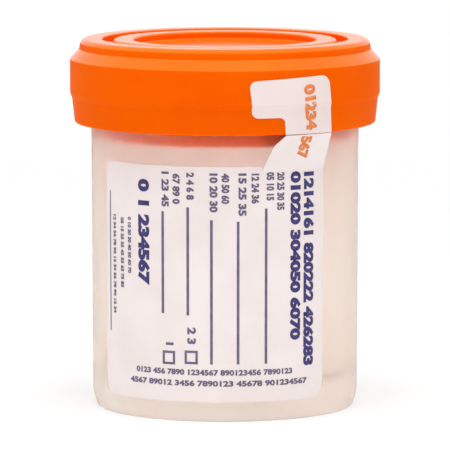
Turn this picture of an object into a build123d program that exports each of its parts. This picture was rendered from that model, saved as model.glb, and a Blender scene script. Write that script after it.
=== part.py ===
from build123d import *
from math import cos, radians, sin
import os

# Specimen container: a drafted cup with a raised floor, a screw cap with a deep plug, a loose seal
# ring on the cup's lip, and a label whose flap rises to a seal tab on the cap.
# Millimetres. The origin is the centre of the resting plane, +Z is up, and -Y faces the viewer.
# An azimuth is in degrees from -Y, growing towards +X.

# Overall
container_height = 71.3        # resting plane to the top of the cap's rim
cap_height = 16.2              # lower edge of the skirt to the top of the rim

# Cup
neck_radius = 25.9             # outside of the neck, and of the wall just under the cap
wall_draft = 0.22              # the wall's radius is this much less at the foot's corner
wall_thickness = 1.05
foot_height = 6.5              # resting plane to the underside of the floor
foot_corner_rise = 2.6         # the wall tucks in over this height
foot_corner_inset = 0.9
foot_corner_rounding = 7.0
foot_ring_width = 1.3          # at the resting plane, over its roundings
foot_edge_rounding = 0.45
foot_wall = 1.35               # above the corner, up to the floor
floor_thickness = 1.2
floor_rounding = 1.6           # inside, where the floor meets the wall
lip_rounding = 0.3

# Cap, outside
skirt_edge_wall = 2.0          # bore to the outside of the skirt, at its lower edge
skirt_edge_rounding = 0.45
skirt_draft = 0.52             # the skirt widens by this much from its lower edge to the step
skirt_top_rounding = 0.5
step_distance = 4.8            # lower edge to the step
step_rise = 1.0                # the step slopes over this height
step_width = 0.38              # the upper skirt stands out by this much
step_rounding = 0.25
shoulder_drop = 2.0            # rim to the top of the sloping shoulder
shoulder_rise = 1.9
shoulder_width = 1.75
shoulder_rounding = 0.4
crown_draft = 0.35             # of the steep wall over the shoulder
crown_rounding = 1.2
rim_inner_rounding = 0.35

# Cap, top face
top_thickness = 1.3
groove_width = 2.2             # between the rim and the raised ring
ring_width = 3.9
ring_drop = 0.15               # the raised ring's top lies this far under the rim
ring_rounding = 0.5
sink_depth = 2.2               # rim to the sunk centre, and to the bottom of the groove

# Cap, inside
thread_space = 1.2             # room for the thread between the neck and the cap's bore
bore_lead_in = 0.4
plug_gap = 0.15                # radial clearance of the plug in the cup
plug_wall = 0.9
plug_reach = 2.85              # how far the plug passes the skirt's lower edge
plug_lead_in = 0.35

# Seal ring
seal_ring_thickness = 0.8
seal_ring_gap = 0.15           # radial clearance in the cap's channel

# Label film and seal tab
film_thickness = 0.12
film_gap = 0.02                # adhesive under the film
label_left_azimuth = -60.8
label_right_azimuth = 46.0
label_bottom_height = 3.9
label_drop = 6.2               # lower edge of the skirt to the label's top edge
label_corner_radius = 3.0
flap_lap = 1.0                 # the flap leaves the wall this far under the label's top edge
flap_neck_drop = 2.1           # the flap's left edge runs out fast over this height under the tear line
flap_neck_spread = 1.9         # and by this much
flap_foot_spread = 3.0         # it has run out by this much at the label
flap_rounding = 1.5
tear_gap = 0.12                # tear line between the flap and the seal tab
tab_middle_azimuth = 27.2      # middle of the tab's width, at the tear line
tab_width = 16.7               # straight across, over stem and arm
tab_stem_width = 10.4
tab_arm_rise = 3.3             # lower edge of the skirt to the underside of the arm
tab_drop = 1.95                # top of the skirt to the tab's left corner
tab_skew = 0.8                 # the tab is stuck on a little askew, higher at the right
tab_lean = 1.25                # and its top lies this much further left than its foot
tab_corner_radius = 1.3
tab_top_right_radius = 2.0
tab_inner_radius = 1.1

# Worked out from the sizes above: heights
skirt_bottom_height = container_height - cap_height
step_height = skirt_bottom_height + step_distance
shoulder_height = container_height - shoulder_drop
skirt_top_height = shoulder_height - shoulder_rise
channel_height = container_height - top_thickness
lip_height = channel_height - seal_ring_thickness
sink_height = container_height - sink_depth
plate_bottom_height = sink_height - top_thickness
ring_top_height = container_height - ring_drop
plug_bottom_height = skirt_bottom_height - plug_reach
floor_top_height = foot_height + floor_thickness
label_top_height = skirt_bottom_height - label_drop
flap_start_height = label_top_height - flap_lap
flap_top_height = skirt_bottom_height - tear_gap
tab_arm_height = skirt_bottom_height + tab_arm_rise
tab_left_height = skirt_top_height - tab_drop
tab_right_height = tab_left_height + tab_skew

# Worked out from the sizes above: radii
wall_base_radius = neck_radius - wall_draft
foot_radius = wall_base_radius - foot_corner_inset
foot_inner_radius = wall_base_radius - foot_wall
neck_inner_radius = neck_radius - wall_thickness
plug_outer_radius = neck_inner_radius - plug_gap
plug_inner_radius = plug_outer_radius - plug_wall
ring_outer_radius = plug_inner_radius - groove_width
ring_inner_radius = ring_outer_radius - ring_width
bore_radius = neck_radius + thread_space
skirt_bottom_radius = bore_radius + skirt_edge_wall
step_radius = skirt_bottom_radius + skirt_draft
skirt_radius = step_radius + step_width
shoulder_radius = skirt_radius - shoulder_width
crown_radius = shoulder_radius - crown_draft
reach = 2 * skirt_radius       # longer than any cut has to be


def wall_radius(height):
    """Outside radius of the drafted wall at a height above the foot's corner."""
    share = (height - foot_corner_rise) / (skirt_bottom_height - foot_corner_rise)
    return wall_base_radius + wall_draft * min(share, 1)


def turned(corners, arc=360):
    """Solid of revolution about Z from (radius, height, rounding) corners."""
    points = [(radius, 0, height) for radius, height, rounding in corners]
    roundings = [rounding for radius, height, rounding in corners]
    outline = FilletPolyline(*points, radius=roundings, close=True)
    return revolve(make_face(outline), Axis.Z, arc)


def turned_between(corners, left_azimuth, right_azimuth):
    """Stretch of a solid of revolution, from one azimuth to another."""
    stretch = turned(corners, right_azimuth - left_azimuth)
    return Rot(0, 0, left_azimuth - 90) * stretch


def facing(azimuth):
    """Plane through the axis that faces out at an azimuth, its x to the right and its y up."""
    angle = radians(azimuth)
    return Plane(
        origin=(0, 0, 0),
        x_dir=(cos(angle), sin(angle), 0),
        z_dir=(sin(angle), -cos(angle), 0),
    )


def punch(azimuth, corners):
    """Prism from the axis outwards, with (across, height, rounding) corners."""
    points = [(across, height) for across, height, rounding in corners]
    roundings = [rounding for across, height, rounding in corners]
    outline = FilletPolyline(*points, radius=roundings, close=True)
    return extrude(facing(azimuth) * make_face(outline), reach)


def film(skin):
    """Closed outline of a film that follows a line of (radius, height) points on its carrier."""
    inner = [(radius + film_gap, height, 0) for radius, height in skin]
    outer = [(radius + film_gap + film_thickness, height, 0) for radius, height in reversed(skin)]
    return inner + outer


def make_cup():
    return turned([
        (0, floor_top_height, 0),
        (wall_radius(floor_top_height) - wall_thickness, floor_top_height, floor_rounding),
        (neck_inner_radius, skirt_bottom_height, 0),
        (neck_inner_radius, lip_height, lip_rounding),
        (neck_radius, lip_height, lip_rounding),
        (neck_radius, skirt_bottom_height, 0),
        (wall_base_radius, foot_corner_rise, foot_corner_rounding),
        (foot_radius, 0, foot_edge_rounding),
        (foot_radius - foot_ring_width, 0, lip_rounding),
        (foot_inner_radius, foot_corner_rise, floor_rounding),
        (foot_inner_radius, foot_height, floor_rounding / 2),
        (0, foot_height, 0),
    ])


def make_cap():
    shell = turned([
        (0, sink_height, 0),
        (ring_inner_radius, sink_height, ring_rounding),
        (ring_inner_radius, ring_top_height, ring_rounding),
        (ring_outer_radius, ring_top_height, ring_rounding),
        (ring_outer_radius, sink_height, ring_rounding),
        (plug_inner_radius, sink_height, ring_rounding),
        (plug_inner_radius, container_height, rim_inner_rounding),
        (crown_radius, container_height, crown_rounding),
        (shoulder_radius, shoulder_height, shoulder_rounding),
        (skirt_radius, skirt_top_height, skirt_top_rounding),
        (skirt_radius, step_height + step_rise, step_rounding),
        (step_radius, step_height, step_rounding),
        (skirt_bottom_radius, skirt_bottom_height, skirt_edge_rounding),
        (bore_radius + bore_lead_in, skirt_bottom_height, 0),
        (bore_radius, skirt_bottom_height + bore_lead_in, 0),
        (bore_radius, channel_height, 0),
        (plug_outer_radius, channel_height, 0),
        (plug_outer_radius, plug_bottom_height + plug_lead_in, 0),
        (plug_outer_radius - plug_lead_in, plug_bottom_height, 0),
        (plug_inner_radius, plug_bottom_height, 0),
        (plug_inner_radius, plate_bottom_height, ring_rounding),
        (0, plate_bottom_height, 0),
    ])
    hollow_in_ring = turned([
        (ring_inner_radius + top_thickness, plate_bottom_height - top_thickness, 0),
        (ring_outer_radius - top_thickness, plate_bottom_height - top_thickness, 0),
        (ring_outer_radius - top_thickness, ring_top_height - top_thickness, 0),
        (ring_inner_radius + top_thickness, ring_top_height - top_thickness, 0),
    ])
    return shell - hollow_in_ring


def make_seal_ring():
    inner_radius = plug_outer_radius + seal_ring_gap
    outer_radius = bore_radius - seal_ring_gap
    return turned([
        (inner_radius, lip_height, 0),
        (outer_radius, lip_height, 0),
        (outer_radius, channel_height, 0),
        (inner_radius, channel_height, 0),
    ])


def label_corner(azimuth, height, side, end):
    """What a rounded corner takes off the label: side is -1 at the left, end is -1 at the bottom."""
    radius = label_corner_radius
    square = punch(azimuth, [
        (side * reach, height - end * radius, 0),
        (-side * radius, height - end * radius, 0),
        (-side * radius, height + end * radius, 0),
        (side * reach, height + end * radius, 0),
    ])
    rounding = facing(azimuth) * Pos(-side * radius, height - end * radius) * Circle(radius)
    return square - extrude(rounding, reach)


def make_label():
    wall = [(wall_radius(height), height) for height in (label_bottom_height, label_top_height)]
    panel = turned_between(film(wall), label_left_azimuth, label_right_azimuth)
    for azimuth, height, side, end in [
        (label_left_azimuth, label_bottom_height, -1, -1),
        (label_left_azimuth, label_top_height, -1, 1),
        (label_right_azimuth, label_bottom_height, 1, -1),
    ]:
        panel -= label_corner(azimuth, height, side, end)

    lean = [
        (wall_radius(flap_start_height), flap_start_height),
        (skirt_bottom_radius, flap_top_height),
    ]
    flap = turned_between(film(lean), 0, 2 * tab_middle_azimuth)
    right = tab_width / 2
    left = right - tab_stem_width
    left_foot = left - flap_foot_spread
    neck_height = flap_top_height - flap_neck_drop
    right_foot = wall_radius(label_top_height) * sin(radians(label_right_azimuth - tab_middle_azimuth))
    flap &= punch(tab_middle_azimuth, [
        (left, skirt_bottom_height, 0),
        (left, flap_top_height - tear_gap, 0),
        (left - flap_neck_spread, neck_height, flap_rounding),
        (left_foot, label_top_height, 0),
        (left_foot, flap_start_height - flap_lap, 0),
        (right_foot, flap_start_height - flap_lap, 0),
        (right_foot, label_top_height, 0),
        (right, skirt_bottom_height, 0),
    ])
    return panel + flap


def tab_corner(across, height, rounding):
    """Corner of the leaning tab, from its place across the tab at the tear line."""
    lean = tab_lean * (height - skirt_bottom_height) / (tab_right_height - skirt_bottom_height)
    return (across - lean, height, rounding)


def make_seal_tab():
    skirt = [
        (skirt_bottom_radius, skirt_bottom_height + film_gap),
        (step_radius, step_height),
        (skirt_radius, step_height + step_rise),
        (skirt_radius, skirt_top_height),
    ]
    band = turned_between(film(skirt), 0, 2 * tab_middle_azimuth)
    right = tab_width / 2
    left = -right
    stem_left = right - tab_stem_width
    return band & punch(tab_middle_azimuth, [
        tab_corner(right, skirt_bottom_height - tear_gap, 0),
        tab_corner(right, tab_right_height, tab_top_right_radius),
        tab_corner(left, tab_left_height, tab_corner_radius),
        tab_corner(left, tab_arm_height, tab_corner_radius),
        tab_corner(stem_left, tab_arm_height, tab_inner_radius),
        tab_corner(stem_left, skirt_bottom_height - tear_gap, 0),
    ])


os.makedirs("parts", exist_ok=True)
for name, solid in {
    "cup": make_cup(),
    "screw_cap": make_cap(),
    "seal_ring": make_seal_ring(),
    "label": make_label(),
    "seal_tab": make_seal_tab(),
}.items():
    export_step(solid, "parts/" + name + ".step")
    print(name, "volume", round(solid.volume, 1), "mm3")
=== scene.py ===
import math
import bpy
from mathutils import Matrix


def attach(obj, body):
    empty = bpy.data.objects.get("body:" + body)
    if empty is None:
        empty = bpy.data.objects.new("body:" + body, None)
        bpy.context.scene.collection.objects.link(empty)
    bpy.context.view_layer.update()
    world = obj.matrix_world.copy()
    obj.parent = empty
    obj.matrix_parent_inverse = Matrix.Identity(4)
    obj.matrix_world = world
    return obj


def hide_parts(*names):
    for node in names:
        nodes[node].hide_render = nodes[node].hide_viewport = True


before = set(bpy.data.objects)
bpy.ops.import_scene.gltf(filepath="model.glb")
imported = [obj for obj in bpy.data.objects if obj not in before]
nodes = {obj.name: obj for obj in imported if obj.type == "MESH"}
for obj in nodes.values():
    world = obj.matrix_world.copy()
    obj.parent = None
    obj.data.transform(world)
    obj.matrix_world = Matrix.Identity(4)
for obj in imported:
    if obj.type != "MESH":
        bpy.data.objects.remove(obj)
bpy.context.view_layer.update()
print("frame loaded:", ", ".join(sorted(nodes)))

# Everything is modelled in millimetres and brought down to metres when it is finished.
mm = 0.001
filmRadius = 26.04             # outside of the label on the cup's wall, mm


# Small tools for modelling

def deselectAll():
    bpy.ops.object.select_all(action="DESELECT")


def selectOnly(*objects):
    deselectAll()
    for obj in objects:
        obj.select_set(True)
    bpy.context.view_layer.objects.active = objects[0]


def editMode():
    bpy.ops.object.mode_set(mode="EDIT")


def objectMode():
    bpy.ops.object.mode_set(mode="OBJECT")


def pickPoints(piece, wanted):
    bpy.ops.mesh.select_all(action="DESELECT")
    objectMode()
    for vertex in piece.data.vertices:
        vertex.select = wanted(vertex.co)
    editMode()
    bpy.ops.mesh.select_mode(type="VERT")


def pickFaces(piece, wanted):
    bpy.ops.mesh.select_mode(type="FACE")
    bpy.ops.mesh.select_all(action="DESELECT")
    objectMode()
    for face in piece.data.polygons:
        face.select = wanted(face.center, face.normal)
    editMode()


def turnPoints(degrees, axis="Z", centre=(0, 0, 0)):
    # with no window the operator turns the other way, hence the minus sign
    bpy.ops.transform.rotate(value=-math.radians(degrees), orient_axis=axis, center_override=centre)


def applyModifier(piece, kind, **settings):
    selectOnly(piece)
    modifier = piece.modifiers.new(kind.lower(), kind)
    for name, value in settings.items():
        setattr(modifier, name, value)
    bpy.ops.object.modifier_apply(modifier=modifier.name)


def finishPiece(piece, name, scale=mm, smoothAngle=32):
    selectOnly(piece)
    piece.name = name
    piece.scale = (scale, scale, scale)
    bpy.ops.object.transform_apply(location=True, rotation=True, scale=True)
    if smoothAngle:
        bpy.ops.object.shade_smooth_by_angle(angle=math.radians(smoothAngle))
        applyModifier(piece, "WEIGHTED_NORMAL", keep_sharp=True)
    return piece


def turnedPiece(corners, steps):
    # a point is drawn out through (radius, height, rounding) corners, rounded, and spun round the axis
    deselectAll()
    bpy.ops.mesh.primitive_plane_add(size=1)
    piece = bpy.context.object
    editMode()
    bpy.ops.mesh.merge(type="CENTER")
    bpy.ops.transform.translate(value=(corners[0][0], 0, corners[0][1]))
    for (radius, height, _), (nextRadius, nextHeight, _) in zip(corners, corners[1:]):
        bpy.ops.mesh.extrude_vertices_move(
            TRANSFORM_OT_translate={"value": (nextRadius - radius, 0, nextHeight - height)})
    for i in range(1, len(corners) - 1):
        radius, height, rounding = corners[i]
        if rounding:
            before, after = [(corners[j][0] - radius, corners[j][1] - height) for j in (i - 1, i + 1)]
            between = abs(math.atan2(before[0] * after[1] - before[1] * after[0],
                                     before[0] * after[0] + before[1] * after[1]))
            pickPoints(piece, lambda co: math.hypot(co.x - radius, co.z - height) < 1e-4)
            bpy.ops.mesh.bevel(offset=rounding / math.tan(between / 2), offset_type="OFFSET",
                               segments=4 if rounding < 0.6 else 7, affect="VERTICES")
    bpy.ops.mesh.select_all(action="SELECT")
    bpy.ops.mesh.spin(steps=steps, angle=2 * math.pi, center=(0, 0, 0), axis=(0, 0, 1))
    bpy.ops.mesh.select_all(action="SELECT")
    bpy.ops.mesh.remove_doubles(threshold=1e-4)
    bpy.ops.mesh.normals_make_consistent(inside=False)
    objectMode()
    return piece


# Small tools for materials

def linear(hexColour):
    channels = [int(hexColour[i:i + 2], 16) / 255 for i in (0, 2, 4)]
    return [c / 12.92 if c <= 0.04045 else ((c + 0.055) / 1.055) ** 2.4 for c in channels] + [1]


def addNode(tree, kind, settings=None, values=None, links=None):
    node = tree.nodes.new(kind)
    for name, value in (settings or {}).items():
        setattr(node, name, value)
    for name, value in (values or {}).items():
        node.inputs[name].default_value = value
    for name, source in (links or {}).items():
        tree.links.new(source, node.inputs[name])
    return node


def newTree(owner):
    owner.use_nodes = True
    owner.node_tree.nodes.clear()
    return owner.node_tree


def mouldedFinish(name, look):
    # two close tones in soft clouds, with fine grain in the bump
    material = bpy.data.materials.new(name)
    tree = newTree(material)
    place = addNode(tree, "ShaderNodeTexCoord").outputs["Object"]
    clouds = addNode(tree, "ShaderNodeTexNoise", values={"Scale": 1 / (look["cloudSize"] * mm), "Detail": 3},
                     links={"Vector": place})
    grain = addNode(tree, "ShaderNodeTexNoise", values={"Scale": 1 / (look["grainSize"] * mm), "Detail": 2},
                    links={"Vector": place})
    tone = addNode(tree, "ShaderNodeValToRGB", links={"Fac": clouds.outputs["Fac"]})
    for stop, position, hexColour in zip(tone.color_ramp.elements, (0.35, 0.65), look["tones"]):
        stop.position = position
        stop.color = linear(hexColour)
    rough = addNode(tree, "ShaderNodeMapRange",
                    values={"To Min": look["roughness"][0], "To Max": look["roughness"][1]},
                    links={"Value": clouds.outputs["Fac"]})
    bump = addNode(tree, "ShaderNodeBump",
                   values={"Strength": look["grainStrength"], "Distance": look["grainDepth"] * mm},
                   links={"Height": grain.outputs["Fac"]})
    shader = addNode(tree, "ShaderNodeBsdfPrincipled", values=look["shader"],
                     links={"Base Color": tone.outputs["Color"], "Roughness": rough.outputs["Result"],
                            "Normal": bump.outputs["Normal"]})
    addNode(tree, "ShaderNodeOutputMaterial", links={"Surface": shader.outputs["BSDF"]})
    return material


def dress(obj, material):
    obj.data.materials.clear()
    obj.data.materials.append(material)


# Natural polypropylene, injection moulded 1 mm thick: milky, lets light through and blurs what is behind it
naturalPolypropylene = mouldedFinish("natural_polypropylene", {
    "tones": ("FFFAF5", "FFF8F3"), "cloudSize": 18, "roughness": (0.86, 0.9),
    "grainSize": 0.8, "grainStrength": 0.2, "grainDepth": 0.02,
    "shader": {"IOR": 1.49, "Transmission Weight": 1.0},
})
# Orange polypropylene, moulded in a satin tool: strong even colour with hardly a highlight, and a little glow
# in its grooves
orangePolypropylene = mouldedFinish("satin_orange_polypropylene", {
    "tones": ("F15F00", "ED5A00"), "cloudSize": 14, "roughness": (0.42, 0.5),
    "grainSize": 0.5, "grainStrength": 0.15, "grainDepth": 0.02,
    "shader": {"IOR": 1.49, "Specular IOR Level": 0.01, "Subsurface Weight": 0.3,
               "Subsurface Radius": (1.0, 0.9, 0.85), "Subsurface Scale": 2.5 * mm},
})
# The same plastic off the polished top of the tool: glossy, so it mirrors the room when seen at a low angle.
# Its tones are lighter and yellower than the satin orange, a painted highlight of the top light on the faces
# that look up
polishedOrangeWithPaintedTopLight = mouldedFinish("polished_orange_painted_top_light", {
    "tones": ("F97206", "F56C02"), "cloudSize": 14, "roughness": (0.14, 0.2),
    "grainSize": 0.9, "grainStrength": 0.05, "grainDepth": 0.02,
    "shader": {"IOR": 1.49, "Specular IOR Level": 0.2, "Subsurface Weight": 0.3,
               "Subsurface Radius": (1.0, 0.9, 0.85), "Subsurface Scale": 2.5 * mm},
})
# Calendered polypropylene film, white: smooth satin, faintly uneven where it is stuck down
labelFilm = mouldedFinish("white_label_film", {
    "tones": ("ECE2E0", "E7DBD8"), "cloudSize": 9, "roughness": (0.4, 0.5),
    "grainSize": 1.2, "grainStrength": 0.2, "grainDepth": 0.02,
    "shader": {"IOR": 1.49},
})
sealFilm = mouldedFinish("thin_seal_film", {
    "tones": ("EADAD8", "E6D5D1"), "cloudSize": 9, "roughness": (0.4, 0.5),
    "grainSize": 1.2, "grainStrength": 0.2, "grainDepth": 0.02,
    "shader": {"IOR": 1.49},
})
# Moulded thermoplastic elastomer: matt and slightly dusty
sealElastomer = mouldedFinish("moulded_elastomer", {
    "tones": ("D3CFC6", "CBC6BC"), "cloudSize": 6, "roughness": (0.7, 0.8),
    "grainSize": 0.4, "grainStrength": 0.3, "grainDepth": 0.02,
    "shader": {"IOR": 1.5},
})
# Flexographic inks: thin, flat and a little uneven in density
navyInk = mouldedFinish("navy_ink", {
    "tones": ("2B2164", "3A3074"), "cloudSize": 1.5, "roughness": (0.45, 0.55),
    "grainSize": 0.3, "grainStrength": 0.1, "grainDepth": 0.01,
    "shader": {"IOR": 1.5},
})
violetInk = mouldedFinish("grey_violet_ink", {
    "tones": ("5C5170", "6B6080"), "cloudSize": 1.5, "roughness": (0.45, 0.55),
    "grainSize": 0.3, "grainStrength": 0.1, "grainDepth": 0.01,
    "shader": {"IOR": 1.5},
})
orangeInk = mouldedFinish("orange_ink", {
    "tones": ("E67A38", "E88446"), "cloudSize": 1.5, "roughness": (0.45, 0.55),
    "grainSize": 0.3, "grainStrength": 0.1, "grainDepth": 0.01,
    "shader": {"IOR": 1.5},
})

dress(nodes["label"], labelFilm)
dress(nodes["seal_tab"], sealFilm)
dress(nodes["seal_ring"], sealElastomer)
print("finishes made, label, tab and ring dressed")


# Threads: two starts, right-handed, the same lead on the cup and in the cap

thread = {
    "lead": 8.4,
    "sweep": 270,              # degrees, each start
    "steps": 90,
    "rootWidth": 2.0,
    "crestWidth": 0.8,
    "ridgeHeight": 0.95,
    "sunk": 0.2,               # how far the ridge's root goes into its carrier
    "runOut": 14,              # degrees over which an end fades
    "tipSize": 0.15,           # what is left of the section at its tip
    "cupStart": 58.5,          # height of the middle of the ridge's first end
    "capBelow": 1.35,          # the cap's ridges lie this far under the cup's
}


def threadRidges(rootRadius, outward, startHeight):
    # a trapezoid carried round and up, its two ends drawn out to a small tip in the carrier
    side = 1 if outward else -1
    depth = thread["ridgeHeight"] + thread["sunk"]
    middle = rootRadius + side * (depth / 2 - thread["sunk"])
    root = middle - side * depth / 2
    deselectAll()
    bpy.ops.mesh.primitive_plane_add(size=1, location=(middle, 0, startHeight), rotation=(math.pi / 2, 0, 0))
    ridge = bpy.context.object
    ridge.scale = (depth, thread["rootWidth"], 1)
    bpy.ops.object.transform_apply(location=True, rotation=True, scale=True)
    editMode()
    pickPoints(ridge, lambda co: side * (co.x - middle) > 0)
    bpy.ops.transform.resize(value=(1, 1, thread["crestWidth"] / thread["rootWidth"]),
                             center_override=(middle, 0, startHeight))
    bpy.ops.mesh.select_all(action="SELECT")
    bpy.ops.mesh.delete(type="ONLY_FACE")
    objectMode()
    rise = thread["lead"] * thread["sweep"] / 360
    applyModifier(ridge, "SCREW", angle=math.radians(thread["sweep"]), screw_offset=rise,
                  steps=thread["steps"], render_steps=thread["steps"], axis="Z", use_smooth_shade=False)
    editMode()
    for end, azimuth, height in ((-1, 0, startHeight), (1, thread["sweep"], startHeight + rise)):
        angle = math.radians(azimuth)
        across = (-math.sin(angle), math.cos(angle))
        pickPoints(ridge, lambda co: abs(co.x * across[0] + co.y * across[1]) < 0.01
                   and co.x * math.cos(angle) + co.y * math.sin(angle) > 0)
        bpy.ops.mesh.edge_face_add()
        bpy.ops.mesh.extrude_region_move(
            TRANSFORM_OT_translate={"value": (0, 0, end * thread["lead"] * thread["runOut"] / 360)})
        turnPoints(end * thread["runOut"])
        angle += end * math.radians(thread["runOut"])
        tipHeight = height + end * thread["lead"] * thread["runOut"] / 360
        tip = (root * math.cos(angle), root * math.sin(angle), tipHeight)
        bpy.ops.transform.resize(value=(thread["tipSize"],) * 3, center_override=tip)
    bpy.ops.mesh.select_all(action="SELECT")
    bpy.ops.mesh.normals_make_consistent(inside=False)
    bpy.ops.mesh.duplicate()
    turnPoints(180)
    objectMode()
    return ridge


def uniteWith(piece, ridges):
    applyModifier(piece, "BOOLEAN", operation="UNION", solver="EXACT", object=ridges)
    bpy.data.objects.remove(ridges)


# Cup

cup = {
    "steps": 192,
    "neckRadius": 25.9, "neckInnerRadius": 24.85, "neckHeight": 55.1, "lipHeight": 69.2, "lipRounding": 0.3,
    "wallBaseRadius": 25.68, "cornerRise": 2.6, "cornerRounding": 7.0,
    "footRadius": 24.78, "footRingWidth": 1.3, "footEdgeRounding": 0.45, "footInnerRadius": 24.33,
    "floorUnderside": 6.5, "floorTop": 7.7, "floorInnerRadius": 24.65, "floorRounding": 1.6,
    "gateRadius": 2.2, "gateDepth": 0.3, "gateSlope": 0.3, "gateRounding": 0.1,
    "stubRadius": 0.7, "stubTaper": 0.15, "stubRise": 0.05,
}

cupPiece = turnedPiece([
    (0, cup["floorTop"], 0),
    (cup["floorInnerRadius"], cup["floorTop"], cup["floorRounding"]),
    (cup["neckInnerRadius"], cup["neckHeight"], 0),
    (cup["neckInnerRadius"], cup["lipHeight"], cup["lipRounding"]),
    (cup["neckRadius"], cup["lipHeight"], cup["lipRounding"]),
    (cup["neckRadius"], cup["neckHeight"], 0),
    (cup["wallBaseRadius"], cup["cornerRise"], cup["cornerRounding"]),
    (cup["footRadius"], 0, cup["footEdgeRounding"]),
    (cup["footRadius"] - cup["footRingWidth"], 0, cup["lipRounding"]),
    (cup["footInnerRadius"], cup["cornerRise"], cup["floorRounding"]),
    (cup["footInnerRadius"], cup["floorUnderside"], cup["floorRounding"] / 2),
    (cup["gateRadius"], cup["floorUnderside"], cup["gateRounding"]),
    (cup["gateRadius"] - cup["gateSlope"], cup["floorUnderside"] + cup["gateDepth"], cup["gateRounding"]),
    (cup["stubRadius"], cup["floorUnderside"] + cup["gateDepth"], cup["gateRounding"]),
    (cup["stubRadius"] - cup["stubTaper"], cup["floorUnderside"] + cup["stubRise"], cup["gateRounding"] / 2),
    (0, cup["floorUnderside"] + cup["stubRise"], 0),
], cup["steps"])
uniteWith(cupPiece, threadRidges(cup["neckRadius"], True, thread["cupStart"]))
finishPiece(cupPiece, "sample_cup")
dress(cupPiece, naturalPolypropylene)
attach(cupPiece, "cup_body")
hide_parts("cup")
print("cup turned, with its thread:", len(cupPiece.data.polygons), "faces")


# Screw cap

cap = {
    "steps": 192,
    "rimHeight": 71.3, "crownRadius": 27.9, "crownRounding": 1.2, "rimInnerRounding": 0.35,
    "shoulderHeight": 69.3, "shoulderRadius": 28.25, "shoulderRounding": 0.4,
    "skirtTop": 67.4, "skirtRadius": 30.0, "skirtTopRounding": 0.5,
    "stepTop": 60.9, "stepHeight": 59.9, "stepRadius": 29.62, "stepRounding": 0.25,
    "skirtBottom": 55.1, "skirtBottomRadius": 29.1, "skirtEdgeRounding": 0.45,
    "boreRadius": 27.1, "boreLeadIn": 0.4, "channelHeight": 70.0,
    "plugRadius": 24.7, "plugInnerRadius": 23.8, "plugBottom": 52.25, "plugLeadIn": 0.35,
    "sinkHeight": 69.6, "plateBottom": 67.8, "ringTop": 71.15, "ringRadius": 21.6, "ringInnerRadius": 17.7,
    "ringRounding": 0.5, "ringWall": 1.3,
    "plugShoulderRounding": 0.15, "plugRounding": 0.1, "pocketMouthRounding": 0.2, "pocketRounding": 0.3,
    "gateRadius": 2.0, "gateDepth": 0.3, "gateSlope": 0.3, "gateRounding": 0.1,
    "stubRadius": 0.7, "stubTaper": 0.15,
    "glossAndPaintedLightAbove": 67.3, "glossAndPaintedLightTilt": 0.3,     # faces above this that look up by this much are polished and painted lighter, as if lit from above
}

capPiece = turnedPiece([
    (0, cap["sinkHeight"], 0),
    (cap["stubRadius"] - cap["stubTaper"], cap["sinkHeight"], cap["gateRounding"] / 2),
    (cap["stubRadius"], cap["sinkHeight"] - cap["gateDepth"], cap["gateRounding"]),
    (cap["gateRadius"] - cap["gateSlope"], cap["sinkHeight"] - cap["gateDepth"], cap["gateRounding"]),
    (cap["gateRadius"], cap["sinkHeight"], cap["gateRounding"]),
    (cap["ringInnerRadius"], cap["sinkHeight"], cap["ringRounding"]),
    (cap["ringInnerRadius"], cap["ringTop"], cap["ringRounding"]),
    (cap["ringRadius"], cap["ringTop"], cap["ringRounding"]),
    (cap["ringRadius"], cap["sinkHeight"], cap["ringRounding"]),
    (cap["plugInnerRadius"], cap["sinkHeight"], cap["ringRounding"]),
    (cap["plugInnerRadius"], cap["rimHeight"], cap["rimInnerRounding"]),
    (cap["crownRadius"], cap["rimHeight"], cap["crownRounding"]),
    (cap["shoulderRadius"], cap["shoulderHeight"], cap["shoulderRounding"]),
    (cap["skirtRadius"], cap["skirtTop"], cap["skirtTopRounding"]),
    (cap["skirtRadius"], cap["stepTop"], cap["stepRounding"]),
    (cap["stepRadius"], cap["stepHeight"], cap["stepRounding"]),
    (cap["skirtBottomRadius"], cap["skirtBottom"], cap["skirtEdgeRounding"]),
    (cap["boreRadius"] + cap["boreLeadIn"], cap["skirtBottom"], 0),
    (cap["boreRadius"], cap["skirtBottom"] + cap["boreLeadIn"], 0),
    (cap["boreRadius"], cap["channelHeight"], 0),
    (cap["plugRadius"], cap["channelHeight"], 0),
    (cap["plugRadius"], cap["plugBottom"] + cap["plugLeadIn"], cap["plugShoulderRounding"]),
    (cap["plugRadius"] - cap["plugLeadIn"], cap["plugBottom"], cap["plugRounding"]),
    (cap["plugInnerRadius"], cap["plugBottom"], cap["plugRounding"]),
    (cap["plugInnerRadius"], cap["plateBottom"], cap["ringRounding"]),
    (cap["ringRadius"] - cap["ringWall"], cap["plateBottom"], cap["pocketMouthRounding"]),
    (cap["ringRadius"] - cap["ringWall"], cap["ringTop"] - cap["ringWall"], cap["pocketRounding"]),
    (cap["ringInnerRadius"] + cap["ringWall"], cap["ringTop"] - cap["ringWall"], cap["pocketRounding"]),
    (cap["ringInnerRadius"] + cap["ringWall"], cap["plateBottom"], cap["pocketMouthRounding"]),
    (0, cap["plateBottom"], 0),
], cap["steps"])
uniteWith(capPiece, threadRidges(cap["boreRadius"], False, thread["cupStart"] - thread["capBelow"]))
finishPiece(capPiece, "orange_cap")
dress(capPiece, orangePolypropylene)
# the glossy copy with lighter tones goes on the faces that look up: painted top light
capPiece.data.materials.append(polishedOrangeWithPaintedTopLight)
editMode()
pickFaces(capPiece, lambda middle, normal: middle.z > cap["glossAndPaintedLightAbove"] * mm
          and normal.z > cap["glossAndPaintedLightTilt"])
capPiece.active_material_index = 1
bpy.ops.object.material_slot_assign()
objectMode()
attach(capPiece, "cap_body")
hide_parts("screw_cap")
print("cap turned, with its thread:", len(capPiece.data.polygons), "faces")


# Print: flat artwork in millimetres, measured along the wall from the front and laid round its carrier

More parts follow.
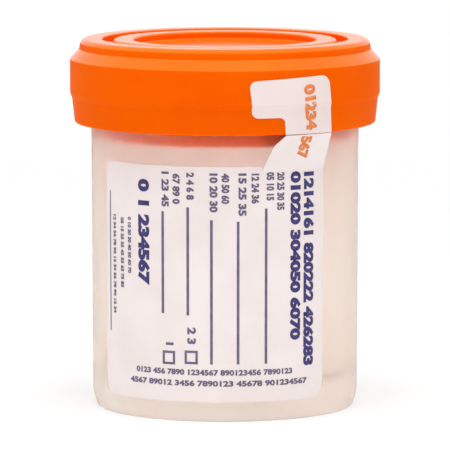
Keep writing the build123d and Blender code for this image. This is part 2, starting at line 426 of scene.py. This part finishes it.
printing = {
    "lift": 0.03,              # clear of the film
    "inkThickness": 0.02,
    "curveSteps": 3,
    "numberWeight": 0.045, "boldWeight": 0.06, "rowWeight": 0.04,    # embolden the numbers, in letter sizes
    "lineWidth": 0.5, "thinLineWidth": 0.3, "boxSide": 2.6, "boxStroke": 0.45,
    "captionTall": 1.55, "rowTall": 1.15, "smallTall": 0.9,
}


def across(azimuth, radius=filmRadius):
    return math.radians(azimuth) * radius


def bar(x, y, width, tall):
    deselectAll()
    bpy.ops.mesh.primitive_plane_add(size=1, location=(x, y, 0))
    piece = bpy.context.object
    piece.scale = (width, tall, 1)
    bpy.ops.object.transform_apply(location=True, scale=True)
    return piece


def frameBox(x, y, side, stroke):
    # a square drawn as a line: inset, and the middle taken out
    piece = bar(x, y, side, side)
    editMode()
    bpy.ops.mesh.select_all(action="SELECT")
    bpy.ops.mesh.inset(thickness=stroke)
    bpy.ops.mesh.delete(type="FACE")
    objectMode()
    return piece


def numberRow(text, x, y, length, tall, down=True, weight=None, lean=0):
    # numbers fitted to a length and a height about their middle, reading down or across, lean in degrees
    deselectAll()
    bpy.ops.object.text_add()
    piece = bpy.context.object
    piece.data.body = text
    piece.data.resolution_u = printing["curveSteps"]
    piece.data.offset = printing["numberWeight"] if weight is None else weight
    bpy.ops.object.convert(target="MESH")
    bpy.ops.object.origin_set(type="ORIGIN_GEOMETRY", center="BOUNDS")
    piece.scale = (length / piece.dimensions.x, tall / piece.dimensions.y, 1)
    piece.rotation_euler = (0, 0, math.radians(lean - 90 if down else lean))
    piece.location = (x, y, 0)
    bpy.ops.object.transform_apply(location=True, rotation=True, scale=True)
    return piece


def layOn(carrier, parts, name, radius, ink, body):
    # joined, stood up facing the front, bent round the axis, pressed on to its carrier, given its thickness
    selectOnly(*parts)
    if len(parts) > 1:
        bpy.ops.object.join()
    sheet = bpy.context.object
    sheet.rotation_euler = (math.pi / 2, 0, 0)
    bpy.ops.object.transform_apply(rotation=True)
    applyModifier(sheet, "SIMPLE_DEFORM", deform_method="BEND", deform_axis="Z",
                  angle=sheet.dimensions.x / radius)
    sheet.location = (0, -radius * mm, 0)
    finishPiece(sheet, name, smoothAngle=0)
    applyModifier(sheet, "SHRINKWRAP", target=carrier, wrap_method="NEAREST_SURFACEPOINT",
                  wrap_mode="ABOVE_SURFACE", offset=printing["lift"] * mm)
    applyModifier(sheet, "SOLIDIFY", thickness=printing["inkThickness"] * mm, offset=1)
    dress(sheet, ink)
    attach(sheet, body)
    print(name, len(sheet.data.polygons), "faces")
    return sheet


# ruled writing lines: azimuth, top and bottom height
writingLines = [
    (-27.1, 40.2, 20.7), (-15.8, 41.15, 20.5), (-5.7, 38.8, 11.2), (5.5, 38.5, 11.2), (17.5, 40.9, 11.2),
]
# captions over the lines: numbers, azimuth, top and bottom height
captions = [
    ("1 23 45", -25.9, 47.8, 41.1), ("67 89 0", -20.9, 47.5, 41.7), ("2 4 6 8", -14.7, 47.8, 42.6),
    ("10 20 30", -4.8, 47.7, 40.3), ("40 50 60", 0.2, 47.7, 41.9), ("15 25 35", 7.3, 47.7, 39.6),
    ("12 24 36", 12.8, 47.6, 41.9), ("05 10 15", 19.3, 47.8, 42.4), ("20 25 30 35", 24.0, 47.7, 40.5),
]
# boxes to tick: azimuth and height
boxes = [(-24.4, 12.25), (-14.4, 12.46)]
# rows under them: numbers, azimuth and height of the middle, length
rows = [
    ("0123 456 7890 1234567 890123456 7890123", -5.5, 9.6, 32),
    ("4567 89012 3456 7890123 45678 901234567", -3.5, 7.5, 37),
]
violetParts = [bar(across(azimuth), (top + bottom) / 2, printing["lineWidth"], top - bottom)
               for azimuth, top, bottom in writingLines]
violetParts += [numberRow(text, across(azimuth), (top + bottom) / 2, top - bottom, printing["captionTall"])
                for text, azimuth, top, bottom in captions]
violetParts += [frameBox(across(azimuth), height, printing["boxSide"], printing["boxStroke"])
                for azimuth, height in boxes]
violetParts += [numberRow("1", across(-24.0), 14.9, 0.5, 1.6)]
violetParts += [numberRow("2 3", across(-14.2), 16.6, 3.2, 1.7)]
violetParts += [numberRow(text, across(azimuth), height, length, printing["rowTall"], down=False,
                          weight=printing["rowWeight"]) for text, azimuth, height, length in rows]
layOn(nodes["label"], violetParts, "writing_lines_print", filmRadius, violetInk, "cup_body")

navyParts = [
    numberRow("0 1 234567", across(-36.6), 36.0, 20.3, 2.8, weight=printing["boldWeight"]),
    numberRow("01020 304050 6070", across(31.1), 31.6, 32.3, 2.4, weight=printing["boldWeight"]),
    numberRow("1214161 820222 426283", across(37.9), 28.9, 37.2, 2.5, weight=printing["boldWeight"]),
]
layOn(nodes["label"], navyParts, "bold_numbers_print", filmRadius, navyInk, "cup_body")

smallParts = [
    bar(across(-57.6), 29.7, printing["thinLineWidth"], 27.0),
    numberRow("0 10 20 30 40 50 60 70", across(-44.6), 33.2, 10.8, printing["smallTall"]),
    numberRow("05 15 25 35 45 55 65 75 85", across(-49.1), 31.6, 13.5, printing["smallTall"]),
    numberRow("12 34 56 78 90 12 34 56 78 90 12 34", across(-54.3), 29.2, 19.0, printing["smallTall"]),
]
layOn(nodes["label"], smallParts, "small_numbers_print", filmRadius, violetInk, "cup_body")

sealPrint = {"tabRadius": 30.14, "tabAzimuth": 32.9, "lean": 7.8, "flapRadius": 29.6, "flapAzimuth": 32.3}
tabNumbers = numberRow("01234", across(sealPrint["tabAzimuth"], sealPrint["tabRadius"]), 60.2, 8.9, 2.5,
                       weight=printing["boldWeight"], lean=sealPrint["lean"])
layOn(nodes["seal_tab"], [tabNumbers], "seal_tab_print", sealPrint["tabRadius"], orangeInk, "cap_body")
flapNumbers = numberRow("567", across(sealPrint["flapAzimuth"], sealPrint["flapRadius"]), 51.8, 5.4, 2.7,
                        weight=printing["boldWeight"])
layOn(nodes["label"], [flapNumbers], "seal_flap_print", sealPrint["flapRadius"], orangeInk, "cup_body")


# Floor, surroundings, lamps, camera

surroundings = {
    "floorWidth": 1.6,
    "whiteNear": 0.6, "whiteFar": 1.0,     # share of plain white in the floor, near the object and far off
    "nearRadius": 0.12, "farRadius": 0.6,
    "light": 0.82,                         # what the white room gives the object, as a share of what is seen
}


def directlySeen(tree):
    # 1 where the camera, a reflection or clear material looks at it, 0 where it only lights something
    path = addNode(tree, "ShaderNodeLightPath")
    seen = path.outputs["Is Camera Ray"]
    for name in ("Is Glossy Ray", "Is Transmission Ray"):
        either = addNode(tree, "ShaderNodeMath", {"operation": "MAXIMUM"},
                         links={0: seen, 1: path.outputs[name]})
        seen = either.outputs[0]
    return seen


deselectAll()
bpy.ops.mesh.primitive_circle_add(vertices=96, radius=surroundings["floorWidth"] / 2, fill_type="NGON")
floor = bpy.context.object
floor.name = "floor"
paper = bpy.data.materials.new("white_paper")
tree = newTree(paper)
place = addNode(tree, "ShaderNodeTexCoord").outputs["Object"]
distance = addNode(tree, "ShaderNodeVectorMath", {"operation": "LENGTH"},
                   links={0: place}).outputs["Value"]
white = addNode(tree, "ShaderNodeMapRange", {"interpolation_type": "SMOOTHSTEP"},
                values={"From Min": surroundings["nearRadius"], "From Max": surroundings["farRadius"],
                        "To Min": surroundings["whiteNear"], "To Max": surroundings["whiteFar"]},
                links={"Value": distance}).outputs["Result"]
share = addNode(tree, "ShaderNodeMath", {"operation": "MULTIPLY"}, links={0: white, 1: directlySeen(tree)})
lit = addNode(tree, "ShaderNodeBsdfDiffuse", values={"Color": linear("F2F2F2")})
plain = addNode(tree, "ShaderNodeEmission", values={"Strength": 1.0})
mixed = addNode(tree, "ShaderNodeMixShader",
                links={0: share.outputs[0], 1: lit.outputs[0], 2: plain.outputs[0]})
addNode(tree, "ShaderNodeOutputMaterial", links={"Surface": mixed.outputs[0]})
dress(floor, paper)

world = bpy.data.worlds.new("white_room")
bpy.context.scene.world = world
tree = newTree(world)
strength = addNode(tree, "ShaderNodeMapRange", values={"To Min": surroundings["light"], "To Max": 1.0},
                   links={"Value": directlySeen(tree)})
sky = addNode(tree, "ShaderNodeBackground", values={"Color": (1, 1, 1, 1)},
              links={"Strength": strength.outputs["Result"]})
addNode(tree, "ShaderNodeOutputWorld", links={"Surface": sky.outputs[0]})

lamps = {
    "front_lamp": {"place": (-0.2, -1.0, 0.35), "turn": (75, 0, -11), "size": 0.7, "power": 0.42},
    "top_lamp": {"place": (0.0, -0.2, 0.9), "turn": (-12, 0, 0), "size": 0.45, "power": 5},
}
for name, lamp in lamps.items():
    bpy.ops.object.light_add(type="AREA", location=lamp["place"],
                             rotation=[math.radians(degrees) for degrees in lamp["turn"]])
    light = bpy.context.object
    light.name = name
    light.data.size = lamp["size"]
    light.data.energy = lamp["power"]
    light.visible_glossy = False    # only the white room shows in the polished top

view = {"place": (0, -1.0, 0.1525), "pitch": 83.29, "lens": 414.5, "sensor": 36}
bpy.ops.object.camera_add(location=view["place"], rotation=(math.radians(view["pitch"]), 0, 0))
camera = bpy.context.object
camera.data.sensor_width = view["sensor"]
camera.data.lens = view["lens"]
bpy.context.scene.camera = camera
bpy.context.scene.view_settings.view_transform = "Standard"
print("floor, surroundings, lamps and camera in place")
